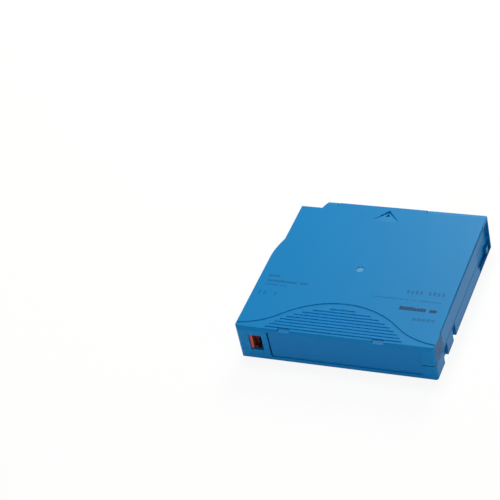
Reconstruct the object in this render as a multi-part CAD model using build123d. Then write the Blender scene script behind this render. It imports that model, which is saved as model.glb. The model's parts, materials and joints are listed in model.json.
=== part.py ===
from build123d import *
import os
from math import acos, atan2, cos, degrees, hypot, radians, sin, sqrt

# Half-inch single-reel data tape cartridge, lying flat.
# Millimetres. +X runs right along the label end, +Y towards the leading end, +Z up.
# The origin is at the bottom centre of the case.
# The sliding door and the leader pin behind it are at the leading end of the right wall.

# Reel and tape
flange_radius = 48.2
flange_thickness = 1.0
hub_radius = 22.0
hub_wall = 2.4
hub_floor = 2.1
tape_width = 12.65
tape_slack = 0.1
tape_margin = 1.7
tape_radius = flange_radius - tape_margin
tape_thickness = 0.1

# Case walls and the room round the reel
wall = 1.7
floor_thickness = 1.8
top_thickness = 1.8
reel_under_gap = 1.4
reel_over_gap = 1.65
side_gap = 1.5
end_gap = 1.1
door_bay = 4.1
part_line = 9.3

# Clearances
rest_gap = 0.3
slide_gap = 0.15
snug_gap = 0.05

# Overall size: 105.4 wide, 102.0 deep and 21.5 high
case_depth = 2 * (flange_radius + end_gap + wall)
case_width = 2 * (flange_radius + wall) + side_gap + door_bay
reel_height = 2 * (flange_thickness + tape_slack) + tape_width
case_height = floor_thickness + reel_under_gap + reel_height + reel_over_gap + top_thickness
right = case_width / 2
left = -right
lead = case_depth / 2
label = -lead
floor_top = floor_thickness
roof = case_height - top_thickness
reel_x = left + wall + side_gap + flange_radius
reel_z = floor_top + reel_under_gap
beyond = 10.0

# Case outline
corner_round = 2.0
post_round = 0.8
step_inset = 3.2
step_depth = 5.5
step_length = 11.7
step_slant = 2.1
label_edge_round = 2.4
edge_round = 0.5

# Grip area on top: a bell-shaped step with an arch of ribs inside it
bell_x = -0.6
bell_crest = 24.6
bell_radius = 46.0
bell_turn = 42.0
flare_radius = 38.0
bell_step = 0.4
groove_count = 9
groove_pitch = 2.155
groove_width = 0.95
groove_depth = 0.4
groove_first = 19.8
arch_margin = 4.3

# Top marks
arrow_tip = 3.1
arrow_length = 8.9
arrow_half_width = 7.5
arrow_depth = 0.9
arrow_mark_half = 1.3
arrow_mark_length = 2.2
arrow_mark_depth = 1.3
dimple_radius = 2.0
dimple_depth = 0.3
grip_notch_offset = 25.05
grip_notch_width = 6.3
grip_notch_step = 0.6
grip_notch_depth = 1.5
grip_notch_reach = 2.8
lead_slope_reach = 1.9
lead_slope_drop = 0.6
lead_nick_width = 0.7
lead_nick_reach = 2.2
lead_nick_depth = 0.7

# Label panel and write-protect window
panel_left_inset = 17.1
panel_right_inset = 7.3
panel_bottom = 2.5
panel_top = 19.4
panel_round = 1.2
panel_recess = 0.4
panel_line_width = 0.6
panel_line_depth = 1.0
window_inset = 6.6
window_width = 7.1
window_bottom = 6.2
window_height = 9.8

# Write-protect tab
tab_width = 2.6
tab_ridge_depth = 0.6
tab_ridge_width = 1.6
tab_body_depth = 3.1
tab_web = 0.5
tab_travel = 2.7
tab_foot_depth = 2.0
tab_foot_clear = 0.4
tab_guide = 1.0
tab_guide_height = 2.5

# Lines round the case: one under the right top edge, and one at the joint of the shells
edge_line_depth = 0.9
edge_line_low = 20.3
edge_line_high = 20.9
edge_line_start = 11.0
edge_line_end = 9.0
joint_line_depth = 0.4
joint_line_height = 0.3

# Handling notches
notch_depth = 1.7
notch_height = 8.5
notch_a_start = 28.4
notch_a_length = 4.6
notch_b_start = 12.4
notch_b_length = 6.4

# Door and its channel
door_thickness = 1.3
door_travel = 14.5
door_overlap = 1.5
window_length = 23.8
channel_height = 5.5
channel_floor = 0.9
corner_post = 1.2
boss_length = 3.5
boss_end = 4.6
boss_recess = 0.4
channel_length = boss_end - corner_post + boss_length + door_travel + slide_gap
rail_thickness = 0.6
rail_height = 1.2
rail_start = 22.0
rail_length = 28.0

# Door spring
door_spring_radius = 1.0
door_spring_wire = 0.35
door_spring_turns = 9
door_spring_runs = 6
door_spring_length = 38.0
door_spring_z = 12.0
spring_pad = 3.0
spring_pad_length = 1.8

# Leader pin, its clip, its pockets and its leaf spring
pin_side_inset = 8.2
pin_lead_inset = 11.5
pin_head_radius = 2.0
pin_neck_radius = 1.2
pin_body_radius = 1.25
pin_head = 0.8
pin_neck = 0.65
pin_collar_radius = 1.9
pin_collar = 0.6
clip_thickness = 0.45
clip_end_gap = 0.7
clip_opening = 75.0
pocket_wall = 1.1
leaf_thickness = 0.3
leaf_half_width = 2.6
leaf_reach = 2.1
leaf_web_offset = 4.4
leaf_tail = 1.5
leaf_holder = 1.1

# Drive gear, hub opening and reel seat
gear_margin = 5.2
gear_tooth_length = 3.2
gear_teeth = 60
gear_tooth_height = 1.2
gear_tooth_base = 1.1
gear_tooth_tip = 0.45
hub_skirt = 1.0
opening_clear = 0.6
seat_ring = 1.5
plate_margin = 1.1
plate_width = 6.5
plate_thickness = 0.8

# Radii worked out from the hub: the drive gear, the steel plate inside it and the legs through it
gear_outer = hub_radius - gear_margin
gear_inner = gear_outer - gear_tooth_length
plate_outer = gear_inner - plate_margin
plate_inner = plate_outer - plate_width
leg_radius = (gear_inner + gear_outer) / 2

# Brake and release pad
brake_teeth = 24
brake_tooth_height = 1.2
brake_tooth_base = 2.4
brake_tooth_tip = 1.0
brake_tooth_inset = 0.2
brake_ring_margin = 0.2
brake_ring_gap = 0.4
brake_ring_height = 2.3
brake_lift = 1.8
brake_tube_radius = 5.0
brake_tube_height = 7.0
key_length = 3.5
key_width = 1.3
key_end_gap = 1.0
brake_spring_radius = 7.0
brake_spring_wire = 0.7
brake_spring_turns = 3
brake_spring_runs = 12
pad_centre_radius = 5.0
pad_arm_width = 4.0
leg_width = 3.4
leg_depth = 2.1
leg_clear = 0.35
leg_tip = 1.1
leg_count = 3

# Screws and the bosses that they hold together
screw_inset = 6.0
screw_rear_left_reach = 11.0
screw_rear_right_inset = 4.9
screw_rear_right_reach = 5.3
screw_lead_left_inset = 8.4
screw_lead_left_reach = 10.7
screw_lead_right_inset = 13.2
screw_lead_right_reach = 5.4
screw_radius = 1.0
screw_head_radius = 2.0
screw_head = 1.3
screw_head_depth = 0.5
screw_length = 13.0
screw_sides = 12
boss_half = 2.8

# Locating holes in the bottom, near the leading end
locating_radius = 2.0
locating_depth = 4.0
locating_wall = 1.2
locating_slot = 1.5
locating_boss_turn = 45.0
locating_left_inset = 14.2
locating_left_reach = 14.0
locating_right_inset = 19.7
locating_right_reach = 9.5

# Radio memory board, at 45 degrees in the label-end right corner
board_right_inset = 9.7
board_width = 14.0
board_length = 11.4
board_thickness = 0.8
board_tilt = 45.0
board_wall_gap = 0.4
board_ledge = 1.2
chip_size = 3.0
chip_thickness = 0.7
coil_margin = 0.8
coil_width = 1.4
coil_thickness = 0.3


def box_between(x_range, y_range, z_range):
    """Box between the lowest and the highest value along each axis."""
    size = [high - low for low, high in (x_range, y_range, z_range)]
    corner = Pos(x_range[0], y_range[0], z_range[0])
    return corner * Box(*size, align=Align.MIN)


def around(centre, half):
    """Range of a given half width about a centre."""
    return (centre - half, centre + half)


def post(x, y, radius, z_range):
    """Upright round post between two heights."""
    height = z_range[1] - z_range[0]
    return Pos(x, y, z_range[0]) * Cylinder(radius, height, align=(Align.CENTER, Align.CENTER, Align.MIN))


def ring(x, y, radii, z_range):
    """Upright ring between two radii and two heights."""
    inner, outer = radii
    hole_range = (z_range[0] - 1, z_range[1] + 1)
    return post(x, y, outer, z_range) - post(x, y, inner, hole_range)


def turned(points):
    """Solid of revolution about Z from radius and height pairs."""
    outline = [(radius, 0, height) for radius, height in points]
    return revolve(make_face(Polyline(*outline, close=True)), Axis.Z)


def coil_spring(radius, wire, length, turns, runs):
    """Helical wire standing on Z = 0: square in section, and each turn made of straight runs."""
    rise = (length - 2 * wire) / (turns * runs)
    points = []
    for index in range(turns * runs + 1):
        angle = radians(index * 360 / runs)
        points.append((radius * cos(angle), radius * sin(angle), wire + index * rise))
    path = Polyline(*points)
    section = Plane(path @ 0, z_dir=path % 0) * Rectangle(wire, wire)
    return sweep(section, path, transition=Transition.RIGHT)


def radial_tooth(radii, base, tip, height):
    """Straight tooth along +X between two radii, narrowing upwards."""
    inner, outer = radii
    section = Polygon((-base / 2, 0), (base / 2, 0), (tip / 2, height), (-tip / 2, height), align=None)
    return extrude(Plane(origin=(inner, 0, 0), x_dir=(0, 1, 0), z_dir=(1, 0, 0)) * section, outer - inner)


# Case outline and its solid
def case_outline():
    """Plan of the case: left wall bowed in beside the reel, and a stepped leading corner."""
    step_x = left + step_inset
    step_y = lead - step_depth
    foot_x = step_x + step_length
    bow = flange_radius + side_gap + wall
    bow_end = sqrt(bow**2 - (reel_x - step_x) ** 2)
    middle = radians(180 - degrees(atan2(bow_end, reel_x - step_x)) / 2)
    bow_point = (reel_x + bow * cos(middle), bow * sin(middle))
    edges = [
        Line((left, label), (right, label)),
        Line((right, label), (right, lead)),
        Line((right, lead), (foot_x + step_slant, lead)),
        Line((foot_x + step_slant, lead), (foot_x, step_y)),
        Line((foot_x, step_y), (step_x, step_y)),
        Line((step_x, step_y), (step_x, bow_end)),
        ThreePointArc((step_x, bow_end), bow_point, (left, 0)),
        Line((left, 0), (left, label)),
    ]
    return make_face(edges)


def round_corners(outline):
    """The outline with its upright corners rounded."""
    label_corners = [outline.vertices().sort_by_distance((x, label))[0] for x in (left, right)]
    outline = fillet(label_corners, corner_round)
    corner = outline.vertices().sort_by_distance((right, lead))[0]
    return fillet(corner, post_round)


def case_block():
    """The whole outside of the case, with its long edges rounded."""
    plan = extrude(round_corners(case_outline()), case_height)
    side = Rectangle(case_depth, case_height, align=(Align.CENTER, Align.MIN))
    label_top = side.vertices().sort_by_distance((label, case_height))[0]
    side = fillet(label_top, label_edge_round)
    others = [side.vertices().sort_by_distance(p)[0] for p in ((label, 0), (lead, 0), (lead, case_height))]
    side = fillet(others, edge_round)
    side = extrude(Plane.YZ * side, case_width, both=True)
    front = Rectangle(case_width, case_height, align=(Align.CENTER, Align.MIN))
    front = fillet(front.vertices(), edge_round)
    front = extrude(Plane.XZ * front, case_depth, both=True)
    return plan & side & front


def cavity():
    """The room inside the walls."""
    inner = offset(case_outline(), amount=-wall, kind=Kind.INTERSECTION)
    return extrude(Pos(0, 0, floor_top) * inner, roof - floor_top)


# Top face
def bell_region():
    """Plan of the stepped-down grip area, from its bell curve to the label end."""
    crest = label + bell_crest
    turn = radians(bell_turn)
    join_x = bell_radius * sin(turn)
    join_y = crest - bell_radius * (1 - cos(turn))
    flare_x = (bell_radius + flare_radius) * sin(turn)
    flare_y = crest - bell_radius + (bell_radius + flare_radius) * cos(turn)
    half = radians(bell_turn / 2)
    side_points = []
    for side in (1, -1):
        middle = (
            bell_x + side * (flare_x - flare_radius * sin(half)),
            flare_y - flare_radius * cos(half),
        )
        foot = (bell_x + side * flare_x, flare_y - flare_radius)
        join = (bell_x + side * join_x, join_y)
        side_points.append((foot, middle, join))
    (foot_r, middle_r, join_r), (foot_l, middle_l, join_l) = side_points
    low = label - beyond
    edges = [
        ThreePointArc(foot_l, middle_l, join_l),
        ThreePointArc(join_l, (bell_x, crest), join_r),
        ThreePointArc(join_r, middle_r, foot_r),
        Line(foot_r, (foot_r[0] + beyond, foot_r[1])),
        Line((foot_r[0] + beyond, foot_r[1]), (foot_r[0] + beyond, low)),
        Line((foot_r[0] + beyond, low), (foot_l[0] - beyond, low)),
        Line((foot_l[0] - beyond, low), (foot_l[0] - beyond, foot_l[1])),
        Line((foot_l[0] - beyond, foot_l[1]), foot_l),
    ]
    return make_face(edges)


def rib_grooves():
    """Parallel grooves along X whose ends follow an arch inside the bell curve."""
    arch_centre = label + bell_crest - arch_margin - bell_radius
    top = case_height - bell_step
    grooves = []
    for index in range(groove_count):
        y = label + groove_first - index * groove_pitch
        half = sqrt(bell_radius**2 - (y - arch_centre) ** 2)
        z_range = (top - groove_depth, top + 1)
        grooves.append(box_between(around(bell_x, half), around(y, groove_width / 2), z_range))
    return grooves


def arrow_cut():
    """Triangular recess that points to the leading end and deepens towards its tip."""
    tip_y = lead - arrow_tip
    base_y = tip_y - arrow_length
    plan = Polygon((-arrow_half_width, base_y), (arrow_half_width, base_y), (0, tip_y), align=None)
    column = extrude(Pos(0, 0, case_height - arrow_depth) * plan, arrow_depth + 1)
    ramp = Polygon(
        (base_y, case_height),
        (tip_y, case_height - arrow_depth),
        (tip_y, case_height + 1),
        (base_y, case_height + 1),
        align=None,
    )
    wedge = extrude(Plane.YZ * ramp, arrow_half_width, both=True)
    mark = Polygon((-arrow_mark_half, 0), (arrow_mark_half, 0), (0, arrow_mark_length), align=None)
    mark_y = base_y + arrow_length / 2
    mark = extrude(Pos(0, mark_y, case_height - arrow_mark_depth) * mark, arrow_mark_depth + 1)
    return (column & wedge) + mark


def grip_notch(x):
    """Notch in the rounded edge above the label, with a sloped floor."""
    top = case_height - bell_step
    slope = Polygon(
        (label + grip_notch_reach, top - grip_notch_step),
        (label - 1, top - grip_notch_depth),
        (label - 1, top + 1),
        (label + grip_notch_reach, top + 1),
        align=None,
    )
    half = grip_notch_width / 2
    return Pos(x, 0, 0) * extrude(Plane.YZ * slope, half, both=True)


def lead_slope(x_range):
    """Shallow slope along one end of the leading top edge."""
    slope = Polygon(
        (lead - lead_slope_reach, case_height),
        (lead + 1, case_height - lead_slope_drop),
        (lead + 1, case_height + 1),
        (lead - lead_slope_reach, case_height + 1),
        align=None,
    )
    width = x_range[1] - x_range[0]
    return Pos(sum(x_range) / 2, 0, 0) * extrude(Plane.YZ * slope, width / 2, both=True)


def lead_nick(x):
    """Small nick in the leading top edge, where a slope ends."""
    z_range = (case_height - lead_nick_depth, case_height + 1)
    return box_between(around(x, lead_nick_width / 2), (lead - lead_nick_reach, lead + 1), z_range)


def top_cuts():
    """Everything sunk into the top face."""
    bell = extrude(Pos(0, 0, case_height - bell_step) * bell_region(), bell_step + 1)
    notches = [grip_notch(reel_x + side * grip_notch_offset) for side in (-1, 1)]
    reach = grip_notch_offset - grip_notch_width / 2
    nicks = (reel_x - reach - grip_notch_width, reel_x + reach)
    slopes = [lead_slope((nicks[1], right + 1)), lead_slope((left - 1, nicks[0]))]
    slopes += [lead_nick(x) for x in nicks]
    dimple = post(reel_x, 0, dimple_radius, (case_height - dimple_depth, case_height + 1))
    return [bell, dimple, arrow_cut()] + rib_grooves() + notches + slopes


# Walls
def panel_box():
    """The part of the label wall that hangs from the upper shell below the parting line."""
    x_range = (left + panel_left_inset, right - panel_right_inset)
    return box_between(x_range, (label - 1, label + wall), (panel_bottom, part_line))


def label_room(depth):
    """Room with rounded corners in front of the label panel, down to a depth in the wall."""
    x_low = left + panel_left_inset
    x_high = right - panel_right_inset
    face = RectangleRounded(x_high - x_low, panel_top - panel_bottom, panel_round)
    centre = ((x_low + x_high) / 2, label + depth, (panel_bottom + panel_top) / 2)
    return extrude(Plane(origin=centre, x_dir=(1, 0, 0), z_dir=(0, -1, 0)) * face, depth + 1)


def label_recess():
    """Shallow recess for a label, with a deeper line along its left edge."""
    x_low = left + panel_left_inset
    edge_x = (x_low, x_low + panel_line_width)
    edge = box_between(edge_x, (label - 1, label + wall), (panel_bottom, panel_top))
    return [label_room(panel_recess), label_room(panel_line_depth) & edge]


def write_protect_window():
    """Window through the label wall."""
    x_low = left + window_inset
    z_range = (window_bottom, window_bottom + window_height)
    return box_between((x_low, x_low + window_width), (label - 1, label + wall + 1), z_range)


def tab_slot():
    """Slot in the floor under the tab's foot."""
    x_low = left + window_inset
    y_low = label + wall + rest_gap
    y_range = (y_low, y_low + tab_foot_depth + 2 * rest_gap)
    return box_between((x_low, x_low + window_width), y_range, (-1, floor_top + 1))


def tab_guides(z_range):
    """Rib behind the tab, on one shell."""
    x_low = left + wall + rest_gap
    x_high = left + window_inset + window_width + tab_travel
    y_low = label + wall + rest_gap + tab_body_depth + rest_gap
    return box_between((x_low, x_high), (y_low, y_low + tab_guide), z_range)


def notch_ranges():
    """Lengths along Y of the handling notches: two on the right, and one opposite on the left."""
    notch_a = (label + notch_a_start, label + notch_a_start + notch_a_length)
    notch_b = (label + notch_b_start, label + notch_b_start + notch_b_length)
    return [(1, notch_a), (1, notch_b), (-1, notch_b)]


def notch_cuts():
    """Handling notches, open at the side and at the bottom."""
    cuts = []
    for side, y_range in notch_ranges():
        x_range = sorted((side * (right - notch_depth), side * (right + 1)))
        cuts.append(box_between(x_range, y_range, (-1, notch_height)))
    return cuts


def notch_backs():
    """Walls that close the handling notches on the inside."""
    backs = []
    for side, (y_low, y_high) in notch_ranges():
        x_range = sorted((side * (right - notch_depth - wall), side * (right - notch_depth)))
        y_range = (y_low - wall, y_high + wall)
        backs.append(box_between(x_range, y_range, (floor_top, part_line)))
    return backs


def edge_line():
    """Line sunk into the right wall just under its top edge."""
    y_range = (label + edge_line_start, lead - edge_line_end)
    return box_between((right - edge_line_depth, right + 1), y_range, (edge_line_low, edge_line_high))


def joint_line():
    """Line round the case above the joint of the shells, but not on most of the label wall."""
    outline = case_outline()
    inner = offset(outline, amount=-joint_line_depth, kind=Kind.INTERSECTION)
    line = extrude(Pos(0, 0, part_line) * (outline - inner), joint_line_height)
    z_range = (part_line - 1, part_line + joint_line_height + 1)
    return line - box_between((left - 1, right - panel_right_inset), (label - 1, label + wall), z_range)


def door_cuts():
    """Window in the right wall, and the channel with a thin floor that the door's boss runs in."""
    y_high = lead - corner_post
    window = box_between((right - wall, right + 1), (y_high - window_length, y_high), (channel_height, roof))
    channel_x = (door_x_range()[0] - slide_gap, right + 1)
    channel_y = (y_high - channel_length, y_high)
    channel = box_between(channel_x, channel_y, (channel_floor, channel_height))
    return [window, channel]


def door_x_range():
    """Thickness of the door's upright plate, just inside the right wall."""
    outer = right - wall - rest_gap
    return (outer - door_thickness, outer)


def door_groove():
    """Groove in the floor that guides the door's lower edge over its whole travel."""
    x_low, x_high = door_x_range()
    y_low = spring_end_y()[1] - door_travel - rest_gap
    z_range = (channel_floor, floor_top + 1)
    return box_between((x_low - slide_gap, x_high + slide_gap), (y_low, lead - wall), z_range)


def door_rails(z_range):
    """Rail that keeps the door from moving inwards, on one shell."""
    outer = door_x_range()[0] - rest_gap
    y_low = lead - rail_start - rail_length
    return box_between((outer - rail_thickness, outer), (y_low, y_low + rail_length), z_range)


def spring_end_y():
    """Where the door spring bears on the case and on the door."""
    door_low = lead - corner_post - window_length - door_overlap
    return (door_low - door_spring_length, door_low)


def spring_stop():
    """Rib from the roof that carries the fixed end of the door spring."""
    fixed = spring_end_y()[0]
    x_range = (right - wall - spring_pad, right - wall)
    z_range = (door_spring_z - spring_pad / 2, roof)
    return box_between(x_range, (fixed - spring_pad_length, fixed), z_range)


# Screws
def screw_places():
    """Screw positions, one near each corner."""
    return [
        (left + screw_inset, label + screw_rear_left_reach),
        (right - screw_rear_right_inset, label + screw_rear_right_reach),
        (left + screw_lead_left_inset, lead - screw_lead_left_reach),
        (right - screw_lead_right_inset, lead - screw_lead_right_reach),
    ]


def screw_bosses(z_range):
    """Square pillars of one shell at the screws."""
    return [box_between(around(x, boss_half), around(y, boss_half), z_range) for x, y in screw_places()]


def screw_section(place, radius, z_range):
    """Twelve-sided post, the form of everything round at the four screws."""
    x, y = place
    face = RegularPolygon(radius, screw_sides)
    return extrude(Pos(x, y, z_range[0]) * face, z_range[1] - z_range[0])


def screw_holes():
    """Screw holes with counterbores for the heads, from below."""
    holes = []
    for place in screw_places():
        shaft_end = screw_head_depth + screw_length + rest_gap
        head_end = screw_head_depth + screw_head
        holes.append(screw_section(place, screw_radius + snug_gap, (-1, shaft_end)))
        holes.append(screw_section(place, screw_head_radius + slide_gap, (-1, head_end)))
    return holes


def case_screws():
    """Four pan-head screws, as separate solids."""
    screws = []
    for place in screw_places():
        head_top = screw_head_depth + screw_head
        head = screw_section(place, screw_head_radius, (screw_head_depth, head_top))
        shaft = screw_section(place, screw_radius, (head_top, screw_head_depth + screw_length))
        screws.append(head + shaft)
    return Compound(children=screws)


# Locating holes
def locating_places():
    """Centres of the round and of the slotted locating hole."""
    round_hole = (left + locating_left_inset, lead - locating_left_reach)
    slot = (right - locating_right_inset, lead - locating_right_reach)
    return [(round_hole, 0), (slot, locating_slot)]


def locating_bosses():
    """Closed square pockets over the locating holes, each with its side to the reel."""
    half = locating_radius + locating_wall
    z_range = (floor_top, locating_depth + locating_wall)
    bosses = []
    for (x, y), slot in locating_places():
        turn = locating_boss_turn if slot == 0 else 0
        boss = box_between(around(0, half + slot / 2), around(0, half), z_range)
        bosses.append(Pos(x, y, 0) * Rot(0, 0, turn) * boss)
    return bosses


def locating_holes():
    """The locating holes themselves: a round one and a slotted one."""
    holes = []
    for (x, y), slot in locating_places():
        face = Circle(locating_radius) if slot == 0 else SlotCenterToCenter(slot, 2 * locating_radius)
        holes.append(extrude(Pos(x, y, -1) * face, 1 + locating_depth))
    return holes


# Pockets for the leader pin and the holder of its leaf spring
def pin_place():
    """Axis of the leader pin."""
    return (right - pin_side_inset, lead - pin_lead_inset)


def pocket_height():
    """Height of the pin's pockets, just under the leaf spring's arms."""
    return rest_gap + pin_head + (pin_neck - leaf_thickness) / 2 - snug_gap


def pin_seat(z_range):
    """U-shaped pocket, open to the right, and the slotted holder behind it, on one shell."""
    x, y = pin_place()
    radius = pin_head_radius + rest_gap
    outer = radius + pocket_wall
    block = box_between((x - outer, x + pin_head_radius), around(y, outer), z_range)
    block -= post(x, y, radius, (z_range[0] - 1, z_range[1] + 1))
    block -= box_between((x, x + outer), around(y, radius), (z_range[0] - 1, z_range[1] + 1))
    return block


def leaf_x_range():
    """Thickness of the leaf spring's upright web."""
    outer = pin_place()[0] - leaf_web_offset
    return (outer - leaf_thickness, outer)


def leaf_seat(z_range):
    """Slotted holder that grips the tail of the leaf spring's web."""
    x_low, x_high = leaf_x_range()
    y = pin_place()[1]
    block_x = (x_low - leaf_holder, x_high + leaf_holder / 2)
    block = box_between(block_x, around(y, leaf_tail + leaf_holder), z_range)
    slot_x = (x_low - snug_gap, x_high + snug_gap)
    return block - box_between(slot_x, around(y, leaf_tail + snug_gap), (z_range[0] - 1, z_range[1] + 1))


# Memory board
def board_centre():
    """Middle of the board, on its lower face."""
    reach = (board_length * cos(radians(board_tilt))) / 2
    y = label + wall + board_wall_gap + reach
    z = floor_top + board_wall_gap + reach
    return (right - board_right_inset - board_width / 2, y, z)


def board_plane():
    """Plane of the board's lower face, which looks down and to the label end."""
    x, y, z = board_centre()
    tilt = radians(board_tilt)
    return Plane(origin=(x, y, z), x_dir=(1, 0, 0), z_dir=(0, sin(tilt), cos(tilt)))


def board_gussets():
    """Two sloped ledges in the lower shell under the board's ends."""
    x, y, z = board_centre()
    corner = (label + wall, floor_top)
    rise = (y - corner[0]) + (z - corner[1])
    section = Polygon(corner, (corner[0] + rise, corner[1]), (corner[0], corner[1] + rise), align=None)
    half = board_width / 2
    gussets = []
    for side in (-1, 1):
        gusset = extrude(Plane.YZ * section, board_ledge / 2, both=True)
        gussets.append(Pos(x + side * (half - board_ledge / 2), 0, 0) * gusset)
    return gussets


def memory_board():
    """Small circuit board."""
    face = Rectangle(board_width, board_length)
    return extrude(board_plane() * face, board_thickness)


def memory_chip():
    """Chip on the board's upper face."""
    face = Rectangle(chip_size, chip_size)
    plane = board_plane().offset(board_thickness)
    return extrude(plane * face, chip_thickness)


def memory_coil():
    """Flat wound antenna on the board's upper face, round the chip."""
    width = board_width - 2 * coil_margin
    length = board_length - 2 * coil_margin
    face = Rectangle(width, length) - Rectangle(width - 2 * coil_width, length - 2 * coil_width)
    plane = board_plane().offset(board_thickness)
    return extrude(plane * face, coil_thickness)


# Shells
def hub_opening_radius():
    """Radius of the opening under the reel."""
    return gear_outer + hub_skirt + opening_clear


def key_shape(clearance):
    """Cross-shaped section of the key that stops the brake from turning."""
    width = key_width + 2 * clearance
    length = 2 * (key_length + clearance)
    return Rectangle(length, width) + Rectangle(width, length)


def brake_key():
    """Cross-shaped key down from the roof over the reel's centre."""
    low = brake_base() + brake_ring_height + brake_lift + key_end_gap
    return extrude(Pos(reel_x, 0, low) * key_shape(0), roof - low)


def lower_shell():
    """Lower half of the case."""
    inside = cavity()
    shell = case_block() - inside
    shell &= box_between((left - 1, right + 1), (label - 1, lead + 1), (-1, part_line))
    shell -= panel_box()
    opening = hub_opening_radius()
    extras = [
        ring(reel_x, 0, (opening, opening + seat_ring), (floor_top, reel_z - rest_gap)),
        tab_guides((floor_top, floor_top + tab_guide_height)),
        door_rails((floor_top, floor_top + rail_height)),
        pin_seat((floor_top, floor_top + pocket_height())),
        leaf_seat((floor_top, floor_top + pocket_height())),
        *screw_bosses((floor_top, part_line)),
        *locating_bosses(),
        *notch_backs(),
        *board_gussets(),
    ]
    shell += extras
    cuts = [
        post(reel_x, 0, opening, (-1, reel_z)),
        write_protect_window(),
        tab_slot(),
        door_groove(),
        *notch_cuts(),
        *door_cuts(),
        *screw_holes(),
        *locating_holes(),
    ]
    return shell - cuts


def upper_shell():
    """Upper half of the case, with the label panel."""
    whole = case_block() - cavity()
    shell = whole & box_between((left - 1, right + 1), (label - 1, lead + 1), (part_line, case_height + 1))
    shell += whole & panel_box()
    extras = [
        brake_key(),
        spring_stop(),
        tab_guides((roof - tab_guide_height, roof)),
        door_rails((roof - rail_height, roof)),
        pin_seat((roof - pocket_height(), roof)),
        leaf_seat((roof - pocket_height(), roof)),
        *screw_bosses((part_line, roof)),
    ]
    shell += extras
    cuts = [
        *label_recess(),
        write_protect_window(),
        edge_line(),
        joint_line(),
        *top_cuts(),
        *notch_cuts(),
        *door_cuts(),
        *screw_holes(),
    ]
    return shell - cuts


# Moving pieces at the walls
def door():
    """Sliding door: a plate, the boss that opens it and the pad that its spring pushes on."""
    x_low, x_high = door_x_range()
    y_low = spring_end_y()[1]
    y_high = lead - wall - 2 * rest_gap + slide_gap
    foot = channel_floor + rest_gap
    plate = box_between((x_low, x_high), (y_low, y_high), (foot, roof - rest_gap))
    boss_y = (lead - boss_end - boss_length, lead - boss_end)
    boss = box_between((x_low, right - boss_recess), boss_y, (foot, channel_height - rest_gap))
    pad_x = (right - wall - spring_pad + rest_gap, x_high)
    pad = box_between(pad_x, (y_low, y_low + spring_pad_length), around(door_spring_z, spring_pad / 2))
    return plate + boss + pad


def door_spring():
    """Coil spring along Y that pushes the door closed."""
    y_low, y_high = spring_end_y()
    length = y_high - y_low - 2 * slide_gap
    winding = (door_spring_turns, door_spring_runs)
    spring = coil_spring(door_spring_radius, door_spring_wire, length, *winding)
    x = right - wall - spring_pad / 2
    return Pos(x, y_low + slide_gap, door_spring_z) * Rot(-90, 0, 0) * spring


def write_protect_tab():
    """Sliding tab: a ridge in the window, a hollowed body behind it and a foot in the floor slot."""
    x_low = left + window_inset + slide_gap
    x_range = (x_low, x_low + tab_width)
    body_x = (x_low - 2 * rest_gap, x_low + tab_width + 2 * rest_gap)
    body_y = (label + wall + rest_gap, label + wall + rest_gap + tab_body_depth)
    body = box_between(body_x, body_y, (floor_top + rest_gap, roof - rest_gap))
    face_z = (window_bottom + rest_gap, window_bottom + window_height - rest_gap)
    ridge_x = (x_low, x_low + tab_ridge_width)
    ridge = box_between(ridge_x, (label + tab_ridge_depth, body_y[0]), face_z)
    hollow = box_between((ridge_x[1], body_x[1] + 1), (body_y[0] - 1, body_y[1] - tab_web), face_z)
    foot_y = (body_y[0] + rest_gap, body_y[0] + rest_gap + tab_foot_depth)
    foot = box_between(x_range, foot_y, (tab_foot_clear, floor_top + rest_gap))
    return body - hollow + ridge + foot


# Reel
def brake_tooth_between(inner, outer):
    """One brake tooth on the ring between two radii, clear of both its edges."""
    radii = (inner + brake_tooth_inset, outer - brake_tooth_inset)
    return radial_tooth(radii, brake_tooth_base, brake_tooth_tip, brake_tooth_height)


def reel_hub():
    """Hub, lower flange, drive gear teeth below and brake teeth inside, moulded in one."""
    floor_z = reel_z + flange_thickness
    skirt_z = floor_z - hub_floor
    skirt = gear_outer + hub_skirt
    inner = hub_radius - hub_wall
    top = reel_z + reel_height - flange_thickness
    hub = turned(
        [
            (0, skirt_z),
            (skirt, skirt_z),
            (skirt, reel_z),
            (flange_radius, reel_z),
            (flange_radius, floor_z),
            (hub_radius, floor_z),
            (hub_radius, top),
            (inner, top),
            (inner, floor_z),
            (0, floor_z),
        ]
    )
    gear_tooth = radial_tooth((gear_inner, gear_outer), gear_tooth_base, gear_tooth_tip, gear_tooth_height)
    gear_tooth = Pos(0, 0, skirt_z) * Rot(180, 0, 0) * gear_tooth
    brake_tooth = Pos(0, 0, floor_z) * brake_tooth_between(brake_ring_inner(), inner)
    skip = degrees((leg_width / 2 + leg_clear + gear_tooth_base / 2) / gear_inner)
    leg_step = 360 / leg_count
    for index in range(gear_teeth):
        angle = index * 360 / gear_teeth
        from_leg = abs((angle + leg_step / 2) % leg_step - leg_step / 2)
        if from_leg > skip:
            hub += Rot(0, 0, angle) * gear_tooth
    hub += [Rot(0, 0, index * 360 / brake_teeth) * brake_tooth for index in range(brake_teeth)]
    hole_x = around(leg_radius, leg_depth / 2 + leg_clear)
    hole = box_between(hole_x, around(0, leg_width / 2 + leg_clear), (skirt_z - 1, floor_z + 1))
    hub -= [Rot(0, 0, index * leg_step) * hole for index in range(leg_count)]
    return Pos(reel_x, 0, 0) * hub


def upper_flange():
    """Flat disc on top of the hub."""
    inner = hub_radius - hub_wall / 2
    top = reel_z + reel_height
    return ring(reel_x, 0, (inner, flange_radius), (top - flange_thickness, top))


def reel_plate():
    """Steel ring under the hub."""
    top = reel_z + flange_thickness - hub_floor
    return ring(reel_x, 0, (plate_inner, plate_outer), (top - plate_thickness, top))


def tape_z_range():
    """Lower and upper edge of the tape."""
    low = reel_z + flange_thickness + tape_slack
    return (low, low + tape_width)


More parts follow.
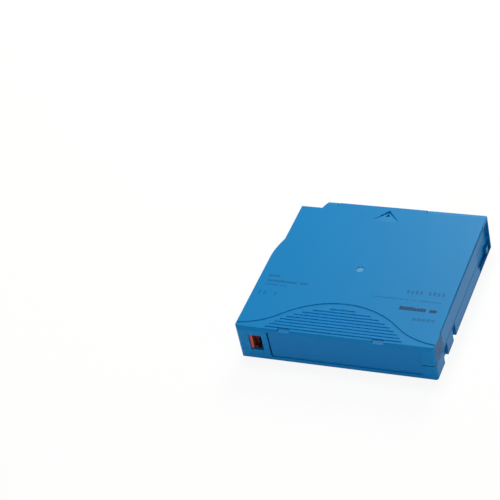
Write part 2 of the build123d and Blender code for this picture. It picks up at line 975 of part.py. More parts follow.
def tape_pack():
    """The wound tape."""
    return ring(reel_x, 0, (hub_radius + snug_gap, tape_radius), tape_z_range())


# Tape end and leader pin
def tape_end():
    """Free stretch of tape: tangent to the pack, then round the pin's body."""
    x, y = pin_place()
    pack = tape_radius + rest_gap + tape_thickness / 2
    pin = pin_body_radius + snug_gap + tape_thickness / 2
    apart = hypot(x - reel_x, y)
    turn = atan2(y, x - reel_x) - acos((pack - pin) / apart)
    start = (reel_x + pack * cos(turn), pack * sin(turn))
    end = (x + pin * cos(turn), y + pin * sin(turn))
    route = [Line(start, end), CenterArc((x, y), pin, degrees(turn), 360 - 2 * clip_opening)]
    low, high = tape_z_range()
    return extrude(Pos(0, 0, low) * trace(route, tape_thickness), high - low)


def leader_pin():
    """Steel pin with a head, a neck and a collar at each end."""
    x, y = pin_place()
    low = floor_top + rest_gap
    high = roof - rest_gap
    neck = low + pin_head
    collar = neck + pin_neck
    body = collar + pin_collar
    half = [
        (pin_head_radius, low),
        (pin_head_radius, neck),
        (pin_neck_radius, neck),
        (pin_neck_radius, collar),
        (pin_collar_radius, collar),
        (pin_collar_radius, body),
        (pin_body_radius, body),
    ]
    mirrored = [(radius, low + high - height) for radius, height in reversed(half)]
    return Pos(x, y, 0) * turned([(0, low), *half, *mirrored, (0, high)])


def tape_clip():
    """C-shaped clip round the tape on the pin, open where the tape leaves."""
    x, y = pin_place()
    inner = pin_body_radius + 2 * snug_gap + tape_thickness
    low, high = tape_z_range()
    ends = (low + clip_end_gap, high - clip_end_gap)
    clip = ring(0, 0, (inner, inner + clip_thickness), ends)
    reach = 2 * (inner + clip_thickness)
    opening = radians(clip_opening)
    edge = (reach * cos(opening), -reach * sin(opening))
    gap = Polygon((0, 0), edge, (reach, -reach), (reach, 0), align=None)
    gap = extrude(Pos(0, 0, ends[0] - 1) * gap, ends[1] - ends[0] + 2)
    return Pos(x, y, 0) * (clip - gap)


def pin_spring():
    """Folded leaf: an upright web and two forked arms that hold the pin by its necks."""
    x, y = pin_place()
    web_x = leaf_x_range()
    low = floor_top + rest_gap
    high = roof - rest_gap
    arm_low = low + pin_head + (pin_neck - leaf_thickness) / 2
    arm_high = high - pin_head - (pin_neck - leaf_thickness) / 2 - leaf_thickness
    web = box_between(web_x, around(y, leaf_half_width), (arm_low, arm_high + leaf_thickness))
    tail = box_between(web_x, around(y, leaf_tail), (low, high))
    spring = web + tail
    for z in (arm_low, arm_high):
        z_range = (z, z + leaf_thickness)
        arm = box_between((web_x[0], x + leaf_reach), around(y, leaf_half_width), z_range)
        fork = pin_neck_radius + slide_gap
        arm -= box_between((x, x + leaf_reach + 1), around(y, fork), (z - 1, z + 1))
        arm -= post(x, y, fork, (z - 1, z + 1))
        spring += arm
    return spring


# Brake
def brake_base():
    """Height of the root of the brake's teeth when they are in mesh."""
    return reel_z + flange_thickness + rest_gap + brake_tooth_height


def brake_ring_inner():
    """Inner edge of the ring of brake teeth, outside the release pad's legs."""
    return leg_radius + leg_depth / 2 + leg_clear + brake_ring_margin


def brake_gear():
    """Toothed brake disc with a keyed tube that slides on the cross-shaped key."""
    outer = hub_radius - hub_wall - brake_ring_gap
    base = brake_base()
    disc_top = base + brake_ring_height
    brake = post(0, 0, outer, (base, disc_top))
    tooth = Pos(0, 0, base) * Rot(180, 0, 0) * brake_tooth_between(brake_ring_inner(), outer)
    step = 360 / brake_teeth
    brake += [Rot(0, 0, (index + 0.5) * step) * tooth for index in range(brake_teeth)]
    brake += post(0, 0, brake_tube_radius, (disc_top, disc_top + brake_tube_height))
    socket = extrude(Pos(0, 0, disc_top) * key_shape(slide_gap), brake_tube_height + 1)
    return Pos(reel_x, 0, 0) * (brake - socket)


def brake_spring():
    """Coil spring between the brake and the roof."""
    low = brake_base() + brake_ring_height + slide_gap
    length = roof - slide_gap - low
    winding = (brake_spring_turns, brake_spring_runs)
    return Pos(reel_x, 0, low) * coil_spring(brake_spring_radius, brake_spring_wire, length, *winding)


def release_pad():
    """Three-legged pad: its legs reach down through the hub floor between the drive gear's teeth."""
    base = reel_z + flange_thickness + rest_gap
    top = brake_base() - snug_gap
    arm_end = leg_radius + leg_depth / 2
    arm = box_between((0, arm_end), around(0, pad_arm_width / 2), (base, top))
    leg = box_between(around(leg_radius, leg_depth / 2), around(0, leg_width / 2), (leg_tip, base))
    pad = post(0, 0, pad_centre_radius, (base, top))
    for index in range(leg_count):
        pad += Rot(0, 0, index * 360 / leg_count) * (arm + leg)
    return Pos(reel_x, 0, 0) * pad


nodes = {
    "upper_shell": upper_shell,
    "lower_shell": lower_shell,
    "case_screws": case_screws,
    "door": door,
    "door_spring": door_spring,
    "write_protect_tab": write_protect_tab,
    "reel_hub": reel_hub,
    "upper_flange": upper_flange,
    "reel_plate": reel_plate,
    "tape_pack": tape_pack,
    "tape_end": tape_end,
    "leader_pin": leader_pin,
    "tape_clip": tape_clip,
    "pin_spring": pin_spring,
    "brake_gear": brake_gear,
    "brake_spring": brake_spring,
    "release_pad": release_pad,
    "memory_board": memory_board,
    "memory_chip": memory_chip,
    "memory_coil": memory_coil,
}
os.makedirs("parts", exist_ok=True)
for name, make in nodes.items():
    export_step(make(), f"parts/{name}.step")
print("case", case_width, case_depth, case_height)
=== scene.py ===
"""Data tape cartridge: finishes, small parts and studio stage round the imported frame.

Sizes are in metres, in the frame's own axes: +X right along the label end, +Y towards the
leading end and +Z up through the top face.
"""

import json
import math
from collections import namedtuple

import bpy
import numpy as np
from mathutils import Matrix, Vector


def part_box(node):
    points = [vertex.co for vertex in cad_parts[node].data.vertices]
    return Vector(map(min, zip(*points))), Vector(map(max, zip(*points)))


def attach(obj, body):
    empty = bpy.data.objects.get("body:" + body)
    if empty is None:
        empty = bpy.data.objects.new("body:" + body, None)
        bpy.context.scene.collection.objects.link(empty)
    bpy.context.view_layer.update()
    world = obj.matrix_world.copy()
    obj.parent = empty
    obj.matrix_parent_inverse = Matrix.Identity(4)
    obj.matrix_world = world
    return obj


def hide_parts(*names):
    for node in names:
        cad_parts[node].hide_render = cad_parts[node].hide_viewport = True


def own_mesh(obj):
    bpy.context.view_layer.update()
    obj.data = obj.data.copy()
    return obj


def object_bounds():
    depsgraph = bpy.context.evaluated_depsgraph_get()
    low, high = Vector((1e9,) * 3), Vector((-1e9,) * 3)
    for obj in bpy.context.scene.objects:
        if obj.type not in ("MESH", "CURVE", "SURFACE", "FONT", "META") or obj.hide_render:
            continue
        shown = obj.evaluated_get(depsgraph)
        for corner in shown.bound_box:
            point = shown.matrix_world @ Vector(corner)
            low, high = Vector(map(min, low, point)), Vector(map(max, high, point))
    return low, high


bl_info = {
    "name": "Data tape cartridge",
    "version": (1, 0, 0),
    "blender": (4, 5, 0),
    "location": "3D View > Sidebar > Cartridge",
    "description": "Dresses a half-inch tape cartridge and builds its small parts and its stage",
    "category": "Object",
}

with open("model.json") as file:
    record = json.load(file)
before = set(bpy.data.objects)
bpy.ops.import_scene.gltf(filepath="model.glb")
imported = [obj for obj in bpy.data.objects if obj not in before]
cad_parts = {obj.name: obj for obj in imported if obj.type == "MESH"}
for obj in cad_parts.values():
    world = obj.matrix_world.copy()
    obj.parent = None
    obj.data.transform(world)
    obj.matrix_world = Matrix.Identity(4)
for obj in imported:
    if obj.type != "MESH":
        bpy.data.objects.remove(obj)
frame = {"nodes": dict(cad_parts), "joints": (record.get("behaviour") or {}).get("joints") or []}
cad_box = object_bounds()

MM = 0.001
TOP = cad_box[1].z
BOTTOM = cad_box[0].z
RIGHT = cad_box[1].x
LABEL_END = cad_box[0].y
REEL_AXIS_X = sum(corner.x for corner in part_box("reel_hub")) / 2
REEL_AXIS = (REEL_AXIS_X, 0.0)

# Places on the case: a pair is a range along one axis, and a single value is where one starts

SKIN = 0.12 * MM
LABEL_WALL_Y = LABEL_END + 1.5 * MM
PANEL_X = (-35.6 * MM, 45.4 * MM)
PANEL_Y = LABEL_END + 0.5 * MM
PANEL_Z = (2.5 * MM, 19.4 * MM)
# The panel edge, joint line, edge line, mark and grip notch places below get painted shade in the
# case's colour
PANEL_EDGE_X = (PANEL_X[0] - 0.1 * MM, PANEL_X[0] + 0.6 * MM)
PANEL_EDGE_Y = (LABEL_END + SKIN, LABEL_END + 1.3 * MM)
JOINT_LINE_Z = (9.15 * MM, 9.75 * MM)
EDGE_LINE_X = RIGHT - 1.5 * MM
EDGE_LINE_Y = -40.0 * MM
EDGE_LINE_Z = (20.2 * MM, 21.0 * MM)
MARK_X = (-1.5 * MM, 1.5 * MM)
MARK_Y = (43.0 * MM, 46.0 * MM)
MARK_Z = (TOP - 1.6 * MM, TOP - 1.0 * MM)
GRIP_NOTCH_ASIDE = (21.9 * MM, 28.2 * MM)
GRIP_NOTCH_Y = (-48.35 * MM, -48.05 * MM)
GRIP_NOTCH_Z = (TOP - 1.5 * MM, TOP - 0.03 * MM)
# The rib places get painted light, paler than the case's blue
RIB_Y = (-48.0 * MM, -25.0 * MM)
RIB_STEP_Z = (TOP - 0.84 * MM, TOP - 0.43 * MM)
RIB_GROOVE_Z = (TOP - 0.37 * MM, TOP - 0.03 * MM)
DOTS_Y = (-49.4 * MM, -37.6 * MM)
DOTS_Z = (10.0 * MM, 20.0 * MM)
GATE_RADIUS = 1.95 * MM
GATE_Z = (TOP - 0.5 * MM, TOP - 0.1 * MM)
PRINT_Z = TOP - 0.3 * MM
# Past this depth the tab is painted darker, as shade
TAB_SHADE_Y = LABEL_END + 2.6 * MM

# Cells of the dotted grip, and the radius of a dome in cells

DOT_PITCH, DOT_RISE = 2.3 * MM, 2.0 * MM
DOT_RADIUS = 0.38

# Shares by which a mark's colour covers the case's blue

DRIFT_COVER = 0.3
# Painted light: the share by which the grip area's steps and grooves are made paler
RIB_LIGHT_COVER = 0.5
GATE_COVER = 0.35
# Painted shade: the share by which the sunk lines are darkened towards the groove shade colour
GROOVE_SHADE_COVER = 0.6
# Painted shade: the share by which the spaces between the domes are darkened
DOT_SHADE_COVER = 0.65

# Noises in cells to a metre, and the heights of the bumps that they make

DRIFT_SCALE = 45.0
TURN_SCALE, BAND_SCALE = 9000.0, 700.0
SMEAR_SCALE = 220.0
MOTTLE_SCALE, RUB_SCALE = 2600.0, 300.0
LACQUER_SCALE = 500.0
WEAVE_X, WEAVE_YZ = 4200.0, 3000.0
PAPER_SCALE = 6.0
GRAIN_HEIGHT = 0.012 * MM
DOME_HEIGHT = 0.6 * MM
TURN_HEIGHT = 0.02 * MM
RING_HEIGHT = 0.004 * MM
MOTTLE_HEIGHT = 0.006 * MM
WEAVE_HEIGHT = 0.006 * MM

# Springs: radius of the wire, its sides, its steps to a turn, and how the end turns close

DOOR_WIRE, BRAKE_WIRE = 0.17 * MM, 0.35 * MM
WIRE_SIDES, COIL_STEPS = 12, 40
CLOSED_TURNS, CLOSED_PITCH = 0.75, 0.12

# Screws: points round, rings to a pitch, plain shaft before and after the thread, the share
# of a radius at which a pole is closed, and the distance within which heights are one level

SCREW_SIDES, THREAD_STEPS = 48, 10
THREAD_START, THREAD_END = 0.3 * MM, 0.6 * MM
POLE = 0.02
ONE_LEVEL = 0.1 * MM

# Antenna: tilt of its board, points round the wire and steps to a turn, roundness of its
# corners, half widths of the wire, and room to the sides of the solid that it replaces

BOARD_TILT = math.radians(45)
WINDING_SIDES, WINDING_STEPS = 8, 96
WINDING_POWER = 0.35
WINDING_WIRE = (0.08 * MM, 0.06 * MM)
WINDING_ROOM = (0.1 * MM, 0.3 * MM)

# Stage: half the floor's side, how white the eye sees it, the sine of the elevation under
# which light comes from below, and the floor's opening under the case

FLOOR_HALF = 3.0
FLOOR_GLOW = 0.9
UNDER_SINE = -0.1
WHITE = (1.0, 1.0, 1.0)
FLOOR_OPENING = (
    (-52.6 * MM, -50.9 * MM), (52.6 * MM, -50.9 * MM), (52.6 * MM, 50.9 * MM),
    (-35.6 * MM, 50.9 * MM), (-37.6 * MM, 45.4 * MM), (-49.4 * MM, 45.4 * MM),
    (-49.4 * MM, 17.9 * MM), (-51.8 * MM, 9.0 * MM), (-52.6 * MM, 0.0),
)

# Rows of plain bars on the top. Fill is the bar's share of the pitch, and ink its strength.

LEAST_BAR = 0.72
GAP_CHANCE = 0.14
ROW_SEED = 37.0
PrintRow = namedtuple("PrintRow", "left low length height pitch fill ink")
PRINT_ROWS = (
    PrintRow(28.0 * MM, -14.0 * MM, 20.6 * MM, 3.0 * MM, 2.3 * MM, 0.5, 0.6),
    PrintRow(10.6 * MM, -19.0 * MM, 37.2 * MM, 1.0 * MM, 0.75 * MM, 0.75, 0.6),
    PrintRow(27.5 * MM, -26.2 * MM, 13.8 * MM, 2.8 * MM, 1.55 * MM, 0.9, 1.15),
    PrintRow(43.2 * MM, -26.2 * MM, 3.8 * MM, 2.8 * MM, 3.8 * MM, 1.0, 1.15),
    PrintRow(34.0 * MM, -33.0 * MM, 14.4 * MM, 2.2 * MM, 2.4 * MM, 0.8, 0.5),
    PrintRow(-48.0 * MM, -12.0 * MM, 6.4 * MM, 1.6 * MM, 6.4 * MM, 1.0, 0.5),
    PrintRow(-48.7 * MM, -15.9 * MM, 24.0 * MM, 1.7 * MM, 1.5 * MM, 0.78, 0.6),
    PrintRow(-48.7 * MM, -18.6 * MM, 13.0 * MM, 1.3 * MM, 1.2 * MM, 0.75, 0.45),
    PrintRow(-49.0 * MM, -26.0 * MM, 11.5 * MM, 3.0 * MM, 2.9 * MM, 0.45, 0.4),
)


# Shader expressions


class Value:
    """A node's output. The operators + - * / < > on it add Math nodes."""

    def __init__(self, finish, socket):
        self.finish = finish
        self.socket = socket

    def math(self, operation, *others):
        return self.finish.node("ShaderNodeMath", {"operation": operation}, self, *others)

    def __add__(self, other):
        return self.math("ADD", other)

    def __radd__(self, other):
        return self.math("ADD", other)

    def __sub__(self, other):
        return self.math("SUBTRACT", other)

    def __rsub__(self, other):
        return self.finish.node("ShaderNodeMath", {"operation": "SUBTRACT"}, other, self)

    def __mul__(self, other):
        return self.math("MULTIPLY", other)

    def __rmul__(self, other):
        return self.math("MULTIPLY", other)

    def __truediv__(self, other):
        return self.math("DIVIDE", other)

    def __gt__(self, other):
        return self.math("GREATER_THAN", other)

    def __lt__(self, other):
        return self.math("LESS_THAN", other)

    def root(self):
        return self.math("SQRT")

    def size(self):
        return self.math("ABSOLUTE")

    def whole(self):
        return self.math("FLOOR")

    def fraction(self):
        return self.math("FRACT")

    def sine(self):
        return self.math("SINE")

    def within(self, low, high):
        """1 where the value lies between low and high, else 0."""
        return (self > low) * (self < high)

    def output(self, name):
        """Another output of the same node."""
        return Value(self.finish, self.socket.node.outputs[name])


class Finish:
    """A material, or a world, whose nodes are written as expressions."""

    def __init__(self, name, world=None):
        self.owner = world or bpy.data.materials.new(name)
        self.owner.use_nodes = True
        self.tree = self.owner.node_tree
        self.tree.nodes.clear()

    def node(self, kind, settings, *values, **named):
        """Adds a node: its settings first, then its sockets in order, then sockets by name."""
        node = self.tree.nodes.new(kind)
        for key, setting in settings.items():
            setattr(node, key, setting)
        for index, value in enumerate(values):
            self.feed(node.inputs[index], value)
        for name, value in named.items():
            self.feed(node.inputs[name.replace("_", " ")], value)
        return Value(self, node.outputs[0] if node.outputs else None)

    def feed(self, socket, value):
        if isinstance(value, Value):
            self.tree.links.new(value.socket, socket)
        elif socket.type == "RGBA" and len(value) == 3:
            socket.default_value = (*value, 1.0)
        else:
            socket.default_value = value

    def place(self):
        """Object coordinates, and their x, y and z."""
        coordinates = self.node("ShaderNodeTexCoord", {}).output("Object")
        parts = self.node("ShaderNodeSeparateXYZ", {}, coordinates)
        return coordinates, *(parts.output(axis) for axis in "XYZ")

    def noise(self, coordinates, scale, detail=2.0):
        return self.node("ShaderNodeTexNoise", {}, coordinates, Scale=scale, Detail=detail)

    def seen(self):
        """1 for the camera's rays and for those that gloss and clear things send, else 0."""
        path = self.node("ShaderNodeLightPath", {})
        rays = path.output("Is Camera Ray") + path.output("Is Glossy Ray")
        return rays + path.output("Is Transmission Ray")

    def random(self, number):
        """A random share of 1 for each whole number."""
        return self.node("ShaderNodeTexWhiteNoise", {"noise_dimensions": "1D"}, W=number)

    def point(self, x, y, z):
        return self.node("ShaderNodeCombineXYZ", {}, x, y, z)

    def mix(self, share, first, second):
        """Colour that goes from the first to the second as share goes from 0 to 1."""
        mixed = self.node("ShaderNodeMix", {"data_type": "RGBA"})
        node = mixed.socket.node
        self.feed(node.inputs[0], share)
        self.feed(node.inputs[6], first)
        self.feed(node.inputs[7], second)
        return Value(self, node.outputs[2])

    def bump(self, height, distance, normal=None):
        extra = {} if normal is None else {"Normal": normal}
        return self.node("ShaderNodeBump", {}, Height=height, Distance=distance, **extra)

    def soft_edges(self, radius):
        """Normal that turns round each edge as if it had that radius."""
        return self.node("ShaderNodeBevel", {"samples": 6}, Radius=radius)

    def surface(self, **sockets):
        """Ends the material in one Principled surface."""
        shader = self.node("ShaderNodeBsdfPrincipled", {}, **sockets)
        return self.close(shader)

    def close(self, shader):
        self.node("ShaderNodeOutputMaterial", {}, shader)
        return self.owner


def scaled(colour, share):
    """The colour with each channel times a share."""
    return tuple(share * channel for channel in colour)


def distance_from(x, y, centre):
    """Distance from the upright axis through a centre in the XY plane."""
    out_x, out_y = x - centre[0], y - centre[1]
    return (out_x * out_x + out_y * out_y).root()


def moulded_plastic(name, colour, roughness, grain, edge):
    """Satin moulded plastic of one colour."""
    finish = Finish(name)
    coordinates, *_ = finish.place()
    return plastic_surface(finish, coordinates, colour, colour, roughness, grain, edge)


def plastic_surface(finish, coordinates, colour, base, roughness, grain, edge):
    """Ends a finish in satin plastic: the base drifts slowly towards a darker shade of the
    colour, with fine spark-eroded grain and softened edges."""
    drift = finish.noise(coordinates, DRIFT_SCALE)
    tint = finish.mix(drift * 0.5, base, scaled(colour, 0.88))
    fine = finish.noise(coordinates, 1 / grain, 3.0)
    rough = roughness + 0.16 * (fine - 0.5) + 0.06 * (drift - 0.5)
    normal = finish.bump(fine, GRAIN_HEIGHT, finish.soft_edges(edge))
    return finish.surface(Base_Color=tint, Roughness=rough, Normal=normal)


def printed_mask(finish, x, y, z):
    """Strength of the ink in the rows of plain bars on the top face, and 0 elsewhere.

    Each row is cut into equal cells along X. A random number for each cell gives the height
    of its bar, and leaves out about one cell in seven where the bars stand apart.
    """
    total = 0.0
    for index, row in enumerate(PRINT_ROWS):
        along = (x - row.left) / row.pitch
        chance = finish.random(along.whole() + ROW_SEED * index)
        tall = (y - row.low) < row.height * (LEAST_BAR + (1 - LEAST_BAR) * chance)
        cell = along.fraction() < row.fill
        if row.fill < 1:
            cell = cell * (chance > GAP_CHANCE)
        inside = x.within(row.left, row.left + row.length) * (y > row.low)
        total = inside * cell * tall * row.ink + total
    return total * (z > PRINT_Z)


def groove_shade_mask(x, y, z):
    """1 in the narrow lines and marks that are sunk into the walls and the top, and 0 elsewhere.
    Where it is 1, shade is painted into the case's colour.
    """
    label_wall = (y < LABEL_WALL_Y) * (x < PANEL_X[1])
    joint = z.within(*JOINT_LINE_Z) * (1 - label_wall)
    edge = z.within(*EDGE_LINE_Z) * (x > EDGE_LINE_X) * (y > EDGE_LINE_Y)
    mark = x.within(*MARK_X) * y.within(*MARK_Y) * z.within(*MARK_Z)
    margin = x.within(*PANEL_EDGE_X) * y.within(*PANEL_EDGE_Y) * z.within(*PANEL_Z)
    aside = (x - REEL_AXIS_X).size()
    notch = aside.within(*GRIP_NOTCH_ASIDE) * y.within(*GRIP_NOTCH_Y) * z.within(*GRIP_NOTCH_Z)
    return joint + edge + mark + margin + notch


def rib_light_mask(y, z):
    """1 on the steps of the grip area and in its grooves, where a paler blue is painted as light
    over their shade, and 0 elsewhere."""
    return (z.within(*RIB_STEP_Z) + z.within(*RIB_GROOVE_Z)) * y.within(*RIB_Y)


def dotted_grip(x, y, z):
    """Height, from 0 to 1, of the small domes by the right wall's front corner, and 1 over the
    whole of their place.

    The wall is cut into cells along Y and Z, each second row moved by half a cell. In a cell
    the height is 1 minus the squared distance from its middle, in cells, over the dome's
    squared radius, and never under 0.
    """
    row = z / DOT_RISE
    along = (y / DOT_PITCH + 0.5 * row.whole()).fraction() - 0.5
    up = row.fraction() - 0.5
    swell = 1 - (along * along + up * up) / DOT_RADIUS ** 2
    place = (x > RIGHT - SKIN) * y.within(*DOTS_Y) * z.within(*DOTS_Z)
    return swell * (swell > 0) * place, place


def case_plastic(settings):
    """The case's blue, with its printed bars, gate mark, dotted grip and label recess.

    One mix follows another: the recess, the slow drift, the painted light on the ribs, the ink, the
    gate mark, and last the painted shade of the sunk lines and between the domes.
    """
    finish = Finish("case_blue_plastic")
    coordinates, x, y, z = finish.place()
    panel = x.within(*PANEL_X) * z.within(*PANEL_Z) * (y < PANEL_Y)
    base = finish.mix(panel, settings.blue, settings.panel_blue)
    drift = finish.noise(coordinates, DRIFT_SCALE)
    base = finish.mix(drift * DRIFT_COVER, base, scaled(settings.blue, 0.85))
    # Painted light: the grip area's steps and grooves are made paler against their shade
    base = finish.mix(rib_light_mask(y, z) * RIB_LIGHT_COVER, base, settings.rib)
    ink = printed_mask(finish, x, y, z)
    base = finish.mix(ink * settings.ink_cover, base, settings.ink)
    gate = (distance_from(x, y, REEL_AXIS) < GATE_RADIUS) * z.within(*GATE_Z)
    base = finish.mix(gate * GATE_COVER, base, settings.gate)
    dome, dotted = dotted_grip(x, y, z)
    # Painted shade: the sunk lines, and the spaces between the domes, are darkened towards the
    # groove shade colour
    shade = groove_shade_mask(x, y, z) * GROOVE_SHADE_COVER + (dotted - dome) * DOT_SHADE_COVER
    base = finish.mix(shade, base, settings.seam)
    fine = finish.noise(coordinates, 1 / settings.grain, 3.0)
    rough = settings.roughness + 0.14 * (fine - 0.5) - 0.1 * panel
    domes = finish.bump(dome, DOME_HEIGHT, finish.soft_edges(settings.edge))
    normal = finish.bump(fine, GRAIN_HEIGHT, domes)
    return finish.surface(
        Base_Color=base, Roughness=rough, Normal=normal, Specular_IOR_Level=settings.gloss
    )


def tab_plastic(settings):
    """Red plastic of the write-protect tab, with painted shade: darker where it lies deep in its
    window than on its ridge.
    """
    finish = Finish("tab_red_plastic")
    coordinates, x, y, z = finish.place()
    # Painted shade: the deep part of the tab is darker
    base = finish.mix(y > TAB_SHADE_Y, settings.red, settings.deep_red)
    grain, edge = settings.grain, settings.edge
    return plastic_surface(finish, coordinates, settings.red, base, 0.4, grain, edge)


def wound_tape(settings):
    """Dark film: fine rings on the sides of the pack, where turns stand a little proud."""
    finish = Finish("wound_tape_film")
    coordinates, x, y, z = finish.place()
    radius = finish.point(distance_from(x, y, REEL_AXIS), 0.0, 0.0)
    turns = finish.noise(radius, TURN_SCALE, 4.0)
    bands = finish.noise(radius, BAND_SCALE)
    base = finish.mix(0.6 * turns + 0.4 * bands, settings.film, scaled(settings.film, 2.2))
    normal = finish.bump(turns + bands, TURN_HEIGHT)
    return finish.surface(Base_Color=base, Roughness=0.22 + 0.2 * turns, Normal=normal)


def turned_metal(name, colour, roughness, centre, across):
    """Metal with fine tool rings, as wide as across: noise along the distance from an upright
    axis and along Z."""
    finish = Finish(name)
    coordinates, x, y, z = finish.place()
    radius = distance_from(x, y, centre)
    rings = finish.noise(finish.point(radius, z, 0.0), 1 / across, 3.0)
    smear = finish.noise(coordinates, SMEAR_SCALE)
    base = finish.mix(0.5 * rings + 0.3 * smear, colour, scaled(colour, 0.72))
    rough = roughness + 0.2 * (rings - 0.5) + 0.12 * (smear - 0.5)
    normal = finish.bump(rings, RING_HEIGHT)
    return finish.surface(Base_Color=base, Metallic=1.0, Roughness=rough, Normal=normal)


def drawn_metal(name, colour, roughness):
    """Drawn or rolled metal: a slight mottle and rubbed patches."""
    finish = Finish(name)
    coordinates, *_ = finish.place()
    fine = finish.noise(coordinates, MOTTLE_SCALE, 4.0)
    patch = finish.noise(coordinates, RUB_SCALE)
    base = finish.mix(0.5 * fine + 0.3 * patch, colour, scaled(colour, 0.6))
    rough = roughness + 0.18 * (fine - 0.5) + 0.15 * (patch - 0.5)
    normal = finish.bump(fine, MOTTLE_HEIGHT)
    return finish.surface(Base_Color=base, Metallic=1.0, Roughness=rough, Normal=normal)


def board_lacquer(settings):
    """Green lacquered board whose glass weave shows through."""
    finish = Finish("board_green_lacquer")
    coordinates, x, y, z = finish.place()
    weave = (x * WEAVE_X).sine() * ((y + z) * WEAVE_YZ).sine() * 0.5 + 0.5
    drift = finish.noise(coordinates, LACQUER_SCALE)
    base = finish.mix(0.4 * weave + 0.3 * drift, settings.board, scaled(settings.board, 1.7))
    normal = finish.bump(weave, WEAVE_HEIGHT, finish.soft_edges(0.1 * MM))
    return finish.surface(Base_Color=base, Roughness=0.3 + 0.1 * drift, Normal=normal)


# Meshes


UP = np.array([0.0, 0.0, 1.0])
Coil = namedtuple("Coil", "radius wire length turns")


def ring_faces(rings, sides):
    """Quads between closed rings of points, each ring joined to the next one."""
    ring, side = np.meshgrid(np.arange(rings - 1), np.arange(sides), indexing="ij")
    here, beside = ring * sides + side, ring * sides + (side + 1) % sides
    return np.stack([here, beside, beside + sides, here + sides], axis=-1).reshape(-1, 4)


def end_caps(rings, sides):
    """The first and the last of the rings, each as one polygon that faces outwards."""
    first = list(range(sides))[::-1]
    last = [(rings - 1) * sides + side for side in range(sides)]
    return [first, last]


def make_piece(name, points, quads, material, caps=()):
    """A mesh object from points (n, 3), quads (m, 4) and extra polygons."""
    mesh = bpy.data.meshes.new(name)
    faces = [tuple(quad) for quad in quads.tolist()] + [tuple(cap) for cap in caps]
    mesh.from_pydata(points.tolist(), [], faces)
    mesh.polygons.foreach_set("use_smooth", np.ones(len(faces), bool))
    mesh.materials.append(material)
    mesh.update()
    piece = bpy.data.objects.new(name, mesh)
    bpy.context.scene.collection.objects.link(piece)
    return piece


def wire_tube(path, across, along, width, height, sides):
    """Tube round a path, as points and quads.

    Point (i, j) is path i plus width times cosine of angle j along the first side vector,
    plus height times sine of angle j along the second. The faces point outwards where the
    first side vector crossed with the second points along the path.
    """
    angle = np.arange(sides) * 2 * np.pi / sides
    ring = width * np.cos(angle)[None, :, None] * across[:, None, :]
    ring = ring + height * np.sin(angle)[None, :, None] * along[:, None, :]
    points = (path[:, None, :] + ring).reshape(-1, 3)
    return points, ring_faces(len(path), sides)


def coil_points(coil):
    """Centre line of a compression spring along Z, with its closed ends.

    The angle runs evenly through all the turns. The pitch grows from a small share at each
    end to its full value within three quarters of a turn. The height is the running sum of
    the pitch, scaled so that the round wire just fills the coil's length.
    """
    share = np.linspace(0.0, 1.0, coil.turns * COIL_STEPS + 1)
    angle = share * coil.turns * 2 * np.pi
    from_end = np.minimum(share, 1 - share) * coil.turns
    pitch = np.clip(from_end / CLOSED_TURNS, CLOSED_PITCH, 1.0)
    rise = np.concatenate([[0.0], np.cumsum((pitch[1:] + pitch[:-1]) / 2)])
    height = coil.wire + (coil.length - 2 * coil.wire) * rise / rise[-1]
    return np.stack([coil.radius * np.cos(angle), coil.radius * np.sin(angle), height], axis=1)


def coil_piece(name, start, ways, coil, material):
    """Round-wire coil spring from a point. The rows of ways are the directions that the
    coil's own X, Y and Z go to."""
    path = coil_points(coil)
    out = path * np.array([1.0, 1.0, 0.0])
    out /= np.linalg.norm(out, axis=1)[:, None]
    up = np.broadcast_to(UP, out.shape)
    points, quads = wire_tube(path, up, out, coil.wire, coil.wire, WIRE_SIDES)
    points = points @ np.array(ways, float) + np.array(start)
    return make_piece(name, points, quads, material, end_caps(len(path), WIRE_SIDES))


def screw_points(settings, head_radius, head_height, shaft_radius, shaft_length):
    """One screw standing on its head, with its drive recess in the face at Z = 0.

    The surface is a set of rings about Z. Ring k has a radius and a height. In the drive
    recess the radius is the recess radius times 1 plus a share of the cosine of six times
    the angle. On the shaft it is the core radius plus the thread depth times a triangle
    wave of height over pitch minus angle over a full turn.
    """
    angle = np.arange(SCREW_SIDES) * 2 * np.pi / SCREW_SIDES
    lobes = settings.recess * (1 + settings.lobe_share * np.cos(6 * angle))
    flat = np.ones(SCREW_SIDES)
    # The recess: its pole, its floor with a chamfer, its wall and its rim
    rings = [
        (POLE * lobes, settings.recess_depth),
        (0.9 * lobes, settings.recess_depth),
        (lobes, settings.recess_depth * 0.8),
        (lobes, 0.06 * head_height),
        (1.08 * lobes, 0.0),
    ]
    # The head: its rounded corner, its side and its underside
    round_off = 0.28 * head_height
    for turn in np.linspace(0, np.pi / 2, 6):
        radius = head_radius - round_off * (1 - math.sin(turn))
        rings.append((radius * flat, round_off * (1 - math.cos(turn))))
    rings.append((head_radius * flat, 0.95 * head_height))
    rings.append((0.97 * head_radius * flat, head_height))
    # The shaft: its core, its thread and its end
    core = shaft_radius - settings.thread_depth
    rings.append((core * flat, head_height))
    steps = int(shaft_length / settings.thread_pitch * THREAD_STEPS)
    for height in np.linspace(THREAD_START, shaft_length - THREAD_END, steps):
        wave = np.mod(height / settings.thread_pitch - angle / (2 * np.pi), 1.0)
        crest = np.clip(1 - 3 * np.abs(wave - 0.5), 0.0, 1.0)
        rings.append((core + settings.thread_depth * crest, head_height + height))
    rings.append((0.7 * core * flat, head_height + shaft_length))
    rings.append((POLE * core * flat, head_height + shaft_length))
    radii = np.stack([radius for radius, _ in rings])
    heights = np.array([height for _, height in rings])
    points = np.empty((len(rings), SCREW_SIDES, 3))
    points[..., 0] = radii * np.cos(angle)
    points[..., 1] = radii * np.sin(angle)
    points[..., 2] = heights[:, None]
    quads = ring_faces(len(rings), SCREW_SIDES)
    return points.reshape(-1, 3), quads, end_caps(len(rings), SCREW_SIDES)


